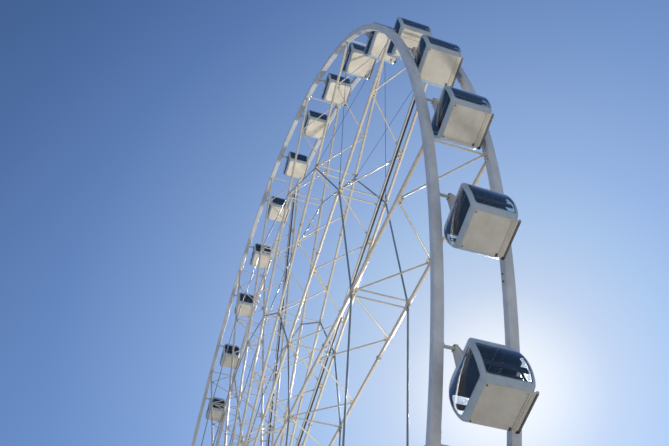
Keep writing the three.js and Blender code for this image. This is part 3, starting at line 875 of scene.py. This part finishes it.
def addBearing(side, name):
    s = Sizes(**bearingSettings)
    bm, fit = bmesh.new(), bmesh.new()
    middle = yAxis * side * s.y
    top = s.saddleMiddle + s.saddle[2] / 2
    # a round block with a bore, cut off flat where it stands on the saddle
    rings = []
    for k in range(s.steps):
        turn = 2 * pi * (k + 0.5) / s.steps
        c, d = cos(turn), sin(turn)
        reach = s.radius if d >= 0 else min(s.radius / max(abs(c), 1e-6), (axle.z - top) / abs(d))
        corners = ((s.bore, -s.halfThick), (reach, -s.halfThick), (reach, s.halfThick), (s.bore, s.halfThick))
        rings.append([bm.verts.new(middle + Vector((r * c, y, axle.z + r * d))) for r, y in corners])
    for (a, b), k in product(zip(rings, rings[1:] + rings[:1]), range(4)):
        bm.faces.new((a[k], b[k], b[(k + 1) % 4], a[(k + 1) % 4]))
    # saddle: a box beam with flanges, stiffeners and the feet of the housing
    w, d, h = s.saddle
    centre = middle + zAxis * s.saddleMiddle
    for lift in (-1, 1):
        block(bm, centre + zAxis * lift * (h - s.flange) / 2, (w, d, s.flange), 0.006, segments=2)
    for y in s.webs:
        block(bm, centre + yAxis * y, (w - 0.04, s.web, h - 0.05))
    for x in s.stiffeners:
        block(bm, centre + xAxis * x, (s.web, d - 0.03, h - 0.05))
    for x in (-1, 1):
        foot = middle + Vector((x * s.feet, 0, top + s.foot[2] / 2))
        block(bm, foot, s.foot, 0.010, segments=2)
        for y in s.footBolts:
            cap = Vector((x * (s.radius - 0.02), middle.y + y, axle.z))
            for lift in (0.03, -0.03):
                block(bm, cap + zAxis * lift, s.cap, 0.008, segments=2)
            for place, along, size in ((foot + Vector((x * 0.035, y, 0.03)), zAxis, 1.3),
                                       (centre + Vector((x * 0.62, y * 1.3, -h / 2)), -zAxis, 1.0),
                                       (cap + Vector((x * 0.012, 0, 0.058)), zAxis, 1.0)):
                boltHead(fit, place, along, s.bolt * size)
    low, high, thick = s.cover
    for way in (-1, 1):
        outline = ((low, 0), (high, 0), (high, thick * 0.7), (high - 0.012, thick), (low + 0.02, thick),
                   (low, thick * 0.7))
        y = middle.y + way * s.halfThick
        spun(bm, [(r, y + way * step) for r, step in outline], axle, 72, closed=True)
        boltCircle(fit, (0, y + way * thick, axle.z), yAxis * way, *s.coverBolts)
    nipple = middle + zAxis * (axle.z + s.radius)
    rod(fit, nipple - zAxis * 0.02, nipple + zAxis * 0.004, 0.012, 10)
    piece(name + "_housing", bm, [machinePaint], "stand", [name], sharp=30)
    piece(name + "_bolts", fit, [boltZinc], "stand")


# Legs: box columns with bolted splices, base plates and, on one leg, a ladder
legSettings = {
    "foot": (7.0, 2.6, 0.4), "top": (0.48, 0.95, 15.75), "size": (0.42, 0.36), "edge": 0.022,
    "overrun": 0.8,  # the column is made this much too long, then cut off level at both ends
    "splices": (0.27, 0.53, 0.79), "flange": (0.56, 0.50, 0.028),
    "flangeBolts": [*product((-0.245, -0.12, 0.0, 0.12, 0.245), (-0.215, 0.215)),
                    *product((-0.245, 0.245), (-0.1, 0.1))],
    "basePlate": (0.60, 0.56, 0.030), "topPlate": (0.56, 0.37, 0.030),
    "anchors": ((-0.26, 0.26), (-0.24, -0.08, 0.08, 0.24)), "bolt": 0.022,
    # washer, nut and stud of an anchor: middle above the plate, radius in bolts, height and sides
    "anchorParts": ((0.004, 1.5, 0.008, 16), (0.022, 1.0, 0.028, 6), (0.031, 0.55, 0.062, 12)),
    "ribs": (-0.15, 0.15), "rib": 0.014,
    "ribShape": ((0.10, 0, 0), (0.29, 0, 0), (0.27, 0.02, 0.05)),  # away from the middle, against the lean, up
    "ribReach": (0.24, 0.18),  # of its top corner, towards the wheel's middle and away from it
    "ladderStep": 0.15, "ladderHalf": 0.11, "ladderOff": 0.10, "ladderEnds": (0.45, 0.35),
    "ladderTubes": (0.014, 0.008),  # rails, rungs
    "ladderStays": (0.42, 0.010, 12),  # part of the way to the leg's middle, radius, every so many rungs
}


def addLeg(sideX, sideY, name):
    s = Sizes(**legSettings)
    bm, fit = bmesh.new(), bmesh.new()
    foot, top = [Vector((sideX * x, sideY * y, z)) for x, y, z in (s.foot, s.top)]
    length = (top - foot).length
    along = (top - foot).normalized()
    turn = directed(along, yAxis.cross(along).normalized())
    flat = turn.to_3x3()
    block(bm, (foot + top) / 2, (*s.size, length + s.overrun), s.edge, turn, segments=3)
    keepInside(bm, [(zAxis * (foot.z + 0.001), -zAxis), (zAxis * (top.z - 0.001), zAxis)])
    bmesh.ops.holes_fill(bm, edges=[edge for edge in bm.edges if edge.is_boundary], sides=0)
    for part, way in product(s.splices, (-1, 1)):
        place = foot + along * length * part
        block(bm, place + along * way * (s.flange[2] / 2 + 0.001), s.flange, 0.004, turn)
        for x, y in s.flangeBolts:
            boltHead(fit, place + flat @ Vector((x, y, 0)) + along * way * (s.flange[2] + 0.001), along * way, s.bolt)
    half = s.basePlate[2] / 2
    plateMiddle = foot + zAxis * (half + 0.001)
    block(bm, plateMiddle, s.basePlate, 0.006)
    block(bm, top - zAxis * 0.016, s.topPlate, 0.006)
    for x, y in product(*s.anchors):
        spot = plateMiddle + Vector((x, y, half))
        for lift, wide, high, sides in s.anchorParts:
            disc(fit, spot + zAxis * lift, zAxis, s.bolt * wide, high, sides)
    for y, x in product(s.ribs, (-1, 1)):
        base = plateMiddle + Vector((0, y, half - 0.002))
        shape = (*s.ribShape, (s.ribReach[x * sideX > 0], 0.13, 0.30))
        plate(bm, [base + Vector((x * a - sideX * b, 0, z)) for a, b, z in shape], yAxis, s.rib)
    if sideX > 0 and sideY > 0:
        addLadder(bm, foot, top, along, flat @ xAxis * (s.size[0] / 2 + s.ladderOff))
    piece(name + "_column", bm, [whitePaint], "stand", [name])
    piece(name + "_bolts", fit, [boltZinc], "stand")


def addLadder(bm, foot, top, along, outer):
    s = Sizes(**legSettings)
    outer = outer if outer.z > 0 else -outer
    half = yAxis * s.ladderHalf
    start, end = foot + along * s.ladderEnds[0] + outer, top - along * s.ladderEnds[1] + outer
    (rail, rung), (reach, stay, every) = s.ladderTubes, s.ladderStays
    for side in (-1, 1):
        rod(bm, start + half * side, end + half * side, rail, 10)
    for i in range(int((end - start).length / s.ladderStep)):
        spot = start + along * s.ladderStep * (i + 0.5)
        rod(bm, spot - half, spot + half, rung, 8)
        if i % every == every // 2:
            for side in (-1, 1):
                rod(bm, spot + half * side, spot + half * side - outer * reach, stay, 8)


for side, name in ((-1, "near"), (1, "far")):
    addBearing(side, name + "_bearing")
    addLeg(-1, side, name + "_left_leg")
    addLeg(1, side, name + "_right_leg")
print("bearings and legs ready")


# Base: two wide cross beams under the feet, joined by a beam along each side of the deck
baseSettings = {
    # a beam's distance from the middle, its size along X, Y and Z, where its webs are, and its stiffeners: how thick
    # they are along it and at its ends, and how much narrower than the beam
    "cross": (7.0, (0.60, 6.4, 0.40), (-0.19, 0.19), 0.012, 0.020, 0.020),
    "side": (2.19, (13.4, 0.22, 0.30), (0.0,), 0.010, 0.024, 0.012), "stiffeners": 15, "flange": 0.024, "web": 0.016,
    "bolt": 0.018, "crossBolts": (3.1, (-0.245, 0.245)), "sideBolts": (6.676, (-0.07, 0.07), (0.08, 0.15, 0.22)),
}


def addBase():
    s = Sizes(**baseSettings)
    bm, fit = bmesh.new(), bmesh.new()
    for beam, across, along in ((s.cross, xAxis, yAxis), (s.side, yAxis, xAxis)):
        away, size, webs, thin, thick, less = beam
        long, wide, high = along.dot(size), across.dot(size), size[2]
        for side in (-1, 1):
            middle = across * side * away
            for z in (s.flange / 2, high - s.flange / 2):
                block(bm, middle + zAxis * z, (*size[:2], s.flange), 0.004)
            middle = middle + zAxis * high / 2
            for step in webs:
                web = across * s.web + along * (long - (0.02 if len(webs) > 1 else 0)) + zAxis * (high - 0.03)
                block(bm, middle + across * step, web)
            for i in range(s.stiffeners):
                ends = (i / (s.stiffeners - 1) * 2 - 1) * (long / 2 - 0.012)
                depth = thin if 0 < i < s.stiffeners - 1 else thick
                block(bm, middle + along * ends, across * (wide - less) + along * depth + zAxis * (high - 0.03))
    for x, y in product((-1, 1), repeat=2):
        end, steps = s.crossBolts
        for step in steps:
            boltHead(fit, (x * s.cross[0] + step, y * end, s.flange), zAxis, s.bolt)
        end, steps, heights = s.sideBolts
        for step, z in product(steps, heights):
            boltHead(fit, (x * end, y * s.side[0] + step, z), -xAxis * x, s.bolt)
    piece("base_beams", bm, [whitePaint], "stand", ["base_frame"])
    piece("base_bolts", fit, [boltZinc], "stand")


# Boarding deck: tread plates in a channel frame on joists and braced posts
deckSettings = {
    "top": 1.2, "x": 5.0, "y": 2.3, "thick": 0.060, "panels": (10, 4), "plateThick": 0.008, "gap": 0.004,
    "screwPlaces": ((-0.46, 0.46), (-0.46, 0.0, 0.46)),  # parts of a panel
    "joist": (0.05, 0.075, 0.008),  # wide, high, thick
    "channel": (0.036, 0.050, 0.060),  # its middle below the top, its height, and its flanges' width
    "post": 0.110, "postPairs": 5, "postFoot": 0.3005, "postBolts": (-0.078, 0.078),
    "postPlates": (0.20, 0.18, 0.014),  # widths at the foot and the head, thick
    "brace": (0.012, 0.36, 1.10),  # radius and the heights of its ends
}


def addDeck():
    s = Sizes(**deckSettings)
    bm, plates, fit = bmesh.new(), bmesh.new(), bmesh.new()
    under, bottom = s.top - s.plateThick, s.top - s.thick
    panelX, panelY = 2 * s.x / s.panels[0], 2 * s.y / s.panels[1]
    for i, k in product(*map(range, s.panels)):
        centre = Vector((-s.x + panelX * (i + 0.5), -s.y + panelY * (k + 0.5), s.top - s.plateThick / 2))
        block(plates, centre, (panelX - s.gap, panelY - s.gap, s.plateThick), 0.0015)
        for x, y in product(*s.screwPlaces):
            disc(fit, centre + Vector((x * panelX, y * panelY, s.plateThick / 2 - 0.001)), zAxis, 0.010, 0.004, 8)
    (wide, high, thick), (down, tall, flange) = s.joist, s.channel
    for side in (-1, 1):
        block(bm, (0, side * (s.y - 0.004), s.top - down), (2 * s.x, thick, tall), 0.002)
        block(bm, (side * (s.x - 0.004), 0, s.top - down), (thick, 2 * s.y, tall), 0.002)
        for z in (under - 0.004, bottom + 0.004):
            block(bm, (0, side * (s.y - 0.035), z), (2 * s.x, flange, thick))
    for i in range(s.panels[0] * 2 + 1):
        x = -s.x + 0.05 + (s.x - 0.05) * i / s.panels[0]
        block(bm, (x, 0, under - high / 2), (thick, 2 * s.y - 0.08, high))
        block(bm, (x + (wide - thick) / 2, 0, under - thick / 2), (wide, 2 * s.y - 0.08, thick))
    rows = [(i / (s.postPairs - 1) * 2 - 1) * (s.x - s.post) for i in range(s.postPairs)]
    lane, low, size = s.y - s.post, s.postFoot, s.post - 0.01
    for x, side in product(rows, (-1, 1)):
        block(bm, (x, side * lane, (low + bottom) / 2), (size, size, bottom - low), 0.008, segments=2)
        for z, span in ((low + 0.008, s.postPlates[0]), (bottom - 0.008, s.postPlates[1])):
            block(bm, (x, side * lane, z), (span, span, s.postPlates[2]), 0.002)
        for a, b in product(s.postBolts, repeat=2):
            boltHead(fit, (x + a, side * lane + b, low + 0.015), zAxis, 0.010)
    radius, low, high = s.brace
    reach, half = lane - s.post / 2, s.post / 2
    for x, side in product(rows, (-1, 1)):
        rod(bm, (x + 0.02 * side, -side * reach, low), (x + 0.02 * side, side * reach, high), radius, 8)
    for side, pair in product((-1, 1), (rows[:2], rows[-2:])):
        for way, start, end in ((-1, low, high), (1, high, low)):
            y = side * lane + way * 0.02
            rod(bm, (pair[0] + half, y, start), (pair[1] - half, y, end), radius, 8)
    piece("deck_frame", bm, [zinc], "stand", ["platform"])
    piece("deck_plates", plates, [treadPlate], "stand")
    piece("deck_screws", fit, [boltZinc], "stand")


# Stairs with their landings, and guard rails. The near side is the far side turned half round.
stairSettings = {
    "wide": 0.85, "near": 2.3003, "risers": 13, "tread": 0.14, "treadThick": 0.018, "landing": 0.85, "startX": -5.0,
    "stringer": (0.010, 0.150), "rail": 0.017, "midRail": 0.0119, "railHeight": 0.55, "railInset": 0.04,
    "railPosts": (0.58, 1.15),  # along the flight, from its upper end
    "post": 0.095, "postInset": 0.055, "postFoot": (0.17, 0.17, 0.011),
}


def addStairs(side, name):
    s = Sizes(**stairSettings)
    bm, plates, rails = bmesh.new(), bmesh.new(), bmesh.new()
    top = deckSettings["top"]
    y0, y1 = s.near, s.near + s.wide
    x0, x1 = s.startX, s.startX + s.landing
    middleX, middle = (x0 + x1) / 2, (y0 + y1) / 2
    end = x1 + (s.risers - 1) * s.tread
    block(plates, (middleX, middle, top - 0.005), (s.landing - 0.01, s.wide - 0.02, 0.008), 0.0015)
    for x in (x0 + 0.02, middleX, x1 - 0.02):
        block(bm, (x, middle, top - 0.045), (0.010, s.wide - 0.04, 0.070))
    for i in range(1, s.risers):
        place = (x1 + (i - 0.5) * s.tread, middle, top - i * top / s.risers - s.treadThick / 2)
        block(plates, place, (s.tread + 0.012, s.wide - 0.03, s.treadThick), 0.003)
    thick, high = s.stringer
    for y, post in ((y0 + thick, y0 + thick + s.postInset), (y1 - thick, y1 - thick - s.postInset)):
        corners = ((x0 + 0.005, top - 0.002), (x1 + 0.02, top - 0.002), (end + 0.005, 0.088), (end + 0.005, 0.001),
                   (end - 0.11, 0.001), (x1 - 0.03, top - high - 0.015), (x0 + 0.005, top - high * 0.8))
        plate(bm, [(x, y, z) for x, z in corners], yAxis, thick)
        block(bm, (x0 + s.postInset, post, (top - 0.08) / 2), (s.post, s.post, top - 0.11), 0.008, segments=2)
        block(bm, (x0 + s.postInset, post, 0.006), s.postFoot, 0.002)
    corner, bend, foot = x0 + s.railInset, x1 + 0.01, end - 0.02
    high = s.railHeight
    slope = -top / (end - x1)
    for y, inner in ((y0 + s.railInset, True), (y1 - s.railInset, False)):
        for drop, radius in ((0.005, s.rail), (0.005 + high / 2, s.midRail)):
            if not inner:
                rod(rails, (corner, y, top + high - drop), (bend, y, top + high - drop), radius)
            rod(rails, (bend, y, top + high - drop), (foot, y, high + 0.055 - drop), radius)
        spots = [(bend, top), *((x1 + step, top + slope * step) for step in s.railPosts), (foot, 0.05)]
        spots += [] if inner else [(corner, top), (middleX, top)]
        for x, z in spots:
            rod(rails, (x, y, z - 0.03), (x, y, z + high + 0.002), s.rail)
    lanes = y0 + s.railInset, y1 - s.railInset
    for z, radius in ((high, s.rail), (high / 2, s.midRail)):
        rod(rails, (corner, lanes[0], top + z - 0.005), (corner, lanes[1], top + z - 0.005), radius)
    rod(rails, (corner, lanes[0], top - 0.03), (corner, lanes[0], top + high), s.rail)
    for made, label, look, slot, nodes in ((bm, "_strings", zinc, "deck_steel", [name]),
                                           (plates, "_treads", treadPlate, "deck_steel", ()),
                                           (rails, "_handrails", zinc, "rail_steel", ())):
        piece(name + label, turnedMesh(made, name + label, look, side), (), "stand", nodes)


def turnedMesh(bm, name, look, side):
    mesh = meshFrom(bm, name, [look])
    mesh.transform(Matrix.Rotation(0 if side > 0 else pi, 4, "Z"))
    return mesh


railSettings = {
    "start": -4.09, "end": 4.94, "y": 2.24, "height": 0.55, "tube": 0.018,
    "lowTube": (0.09, 0.0144),  # height and radius
    "post": 0.0198, "posts": 9, "foot": (0.10, 0.08, 0.010), "footBolts": (-0.036, 0.036), "bar": 0.006,
    "barStep": 0.11,
}


def addRailing(side, name):
    s = Sizes(**railSettings)
    bm = bmesh.new()
    low = deckSettings["top"]
    high = low + s.height - s.tube
    for z, radius in ((high, s.tube), (low + s.lowTube[0], s.lowTube[1])):
        rod(bm, (s.start, s.y, z), (s.end, s.y, z), radius, 14)
    length = s.end - s.start
    for i in range(s.posts):
        x = s.start + 0.02 + (length - 0.04) * i / (s.posts - 1)
        rod(bm, (x, s.y, low), (x, s.y, high), s.post, 14)
        block(bm, (x, s.y, low + 0.006), s.foot, 0.002)
        for step in s.footBolts:
            boltHead(bm, (x + step, s.y, low + 0.011), zAxis, 0.007)
    count = int(length / s.barStep)
    for i in range(1, count):
        x = s.start + length * i / count
        rod(bm, (x, s.y, low + s.lowTube[0]), (x, s.y, high), s.bar, 6)
    piece(name + "_tubes", turnedMesh(bm, name + "_tubes", zinc, side), (), "stand", [name])


addBase()
addDeck()
for side, name in ((-1, "near"), (1, "far")):
    addStairs(side, name + "_stairs")
    addRailing(side, name + "_railing")
print("base, deck, stairs and rails ready")
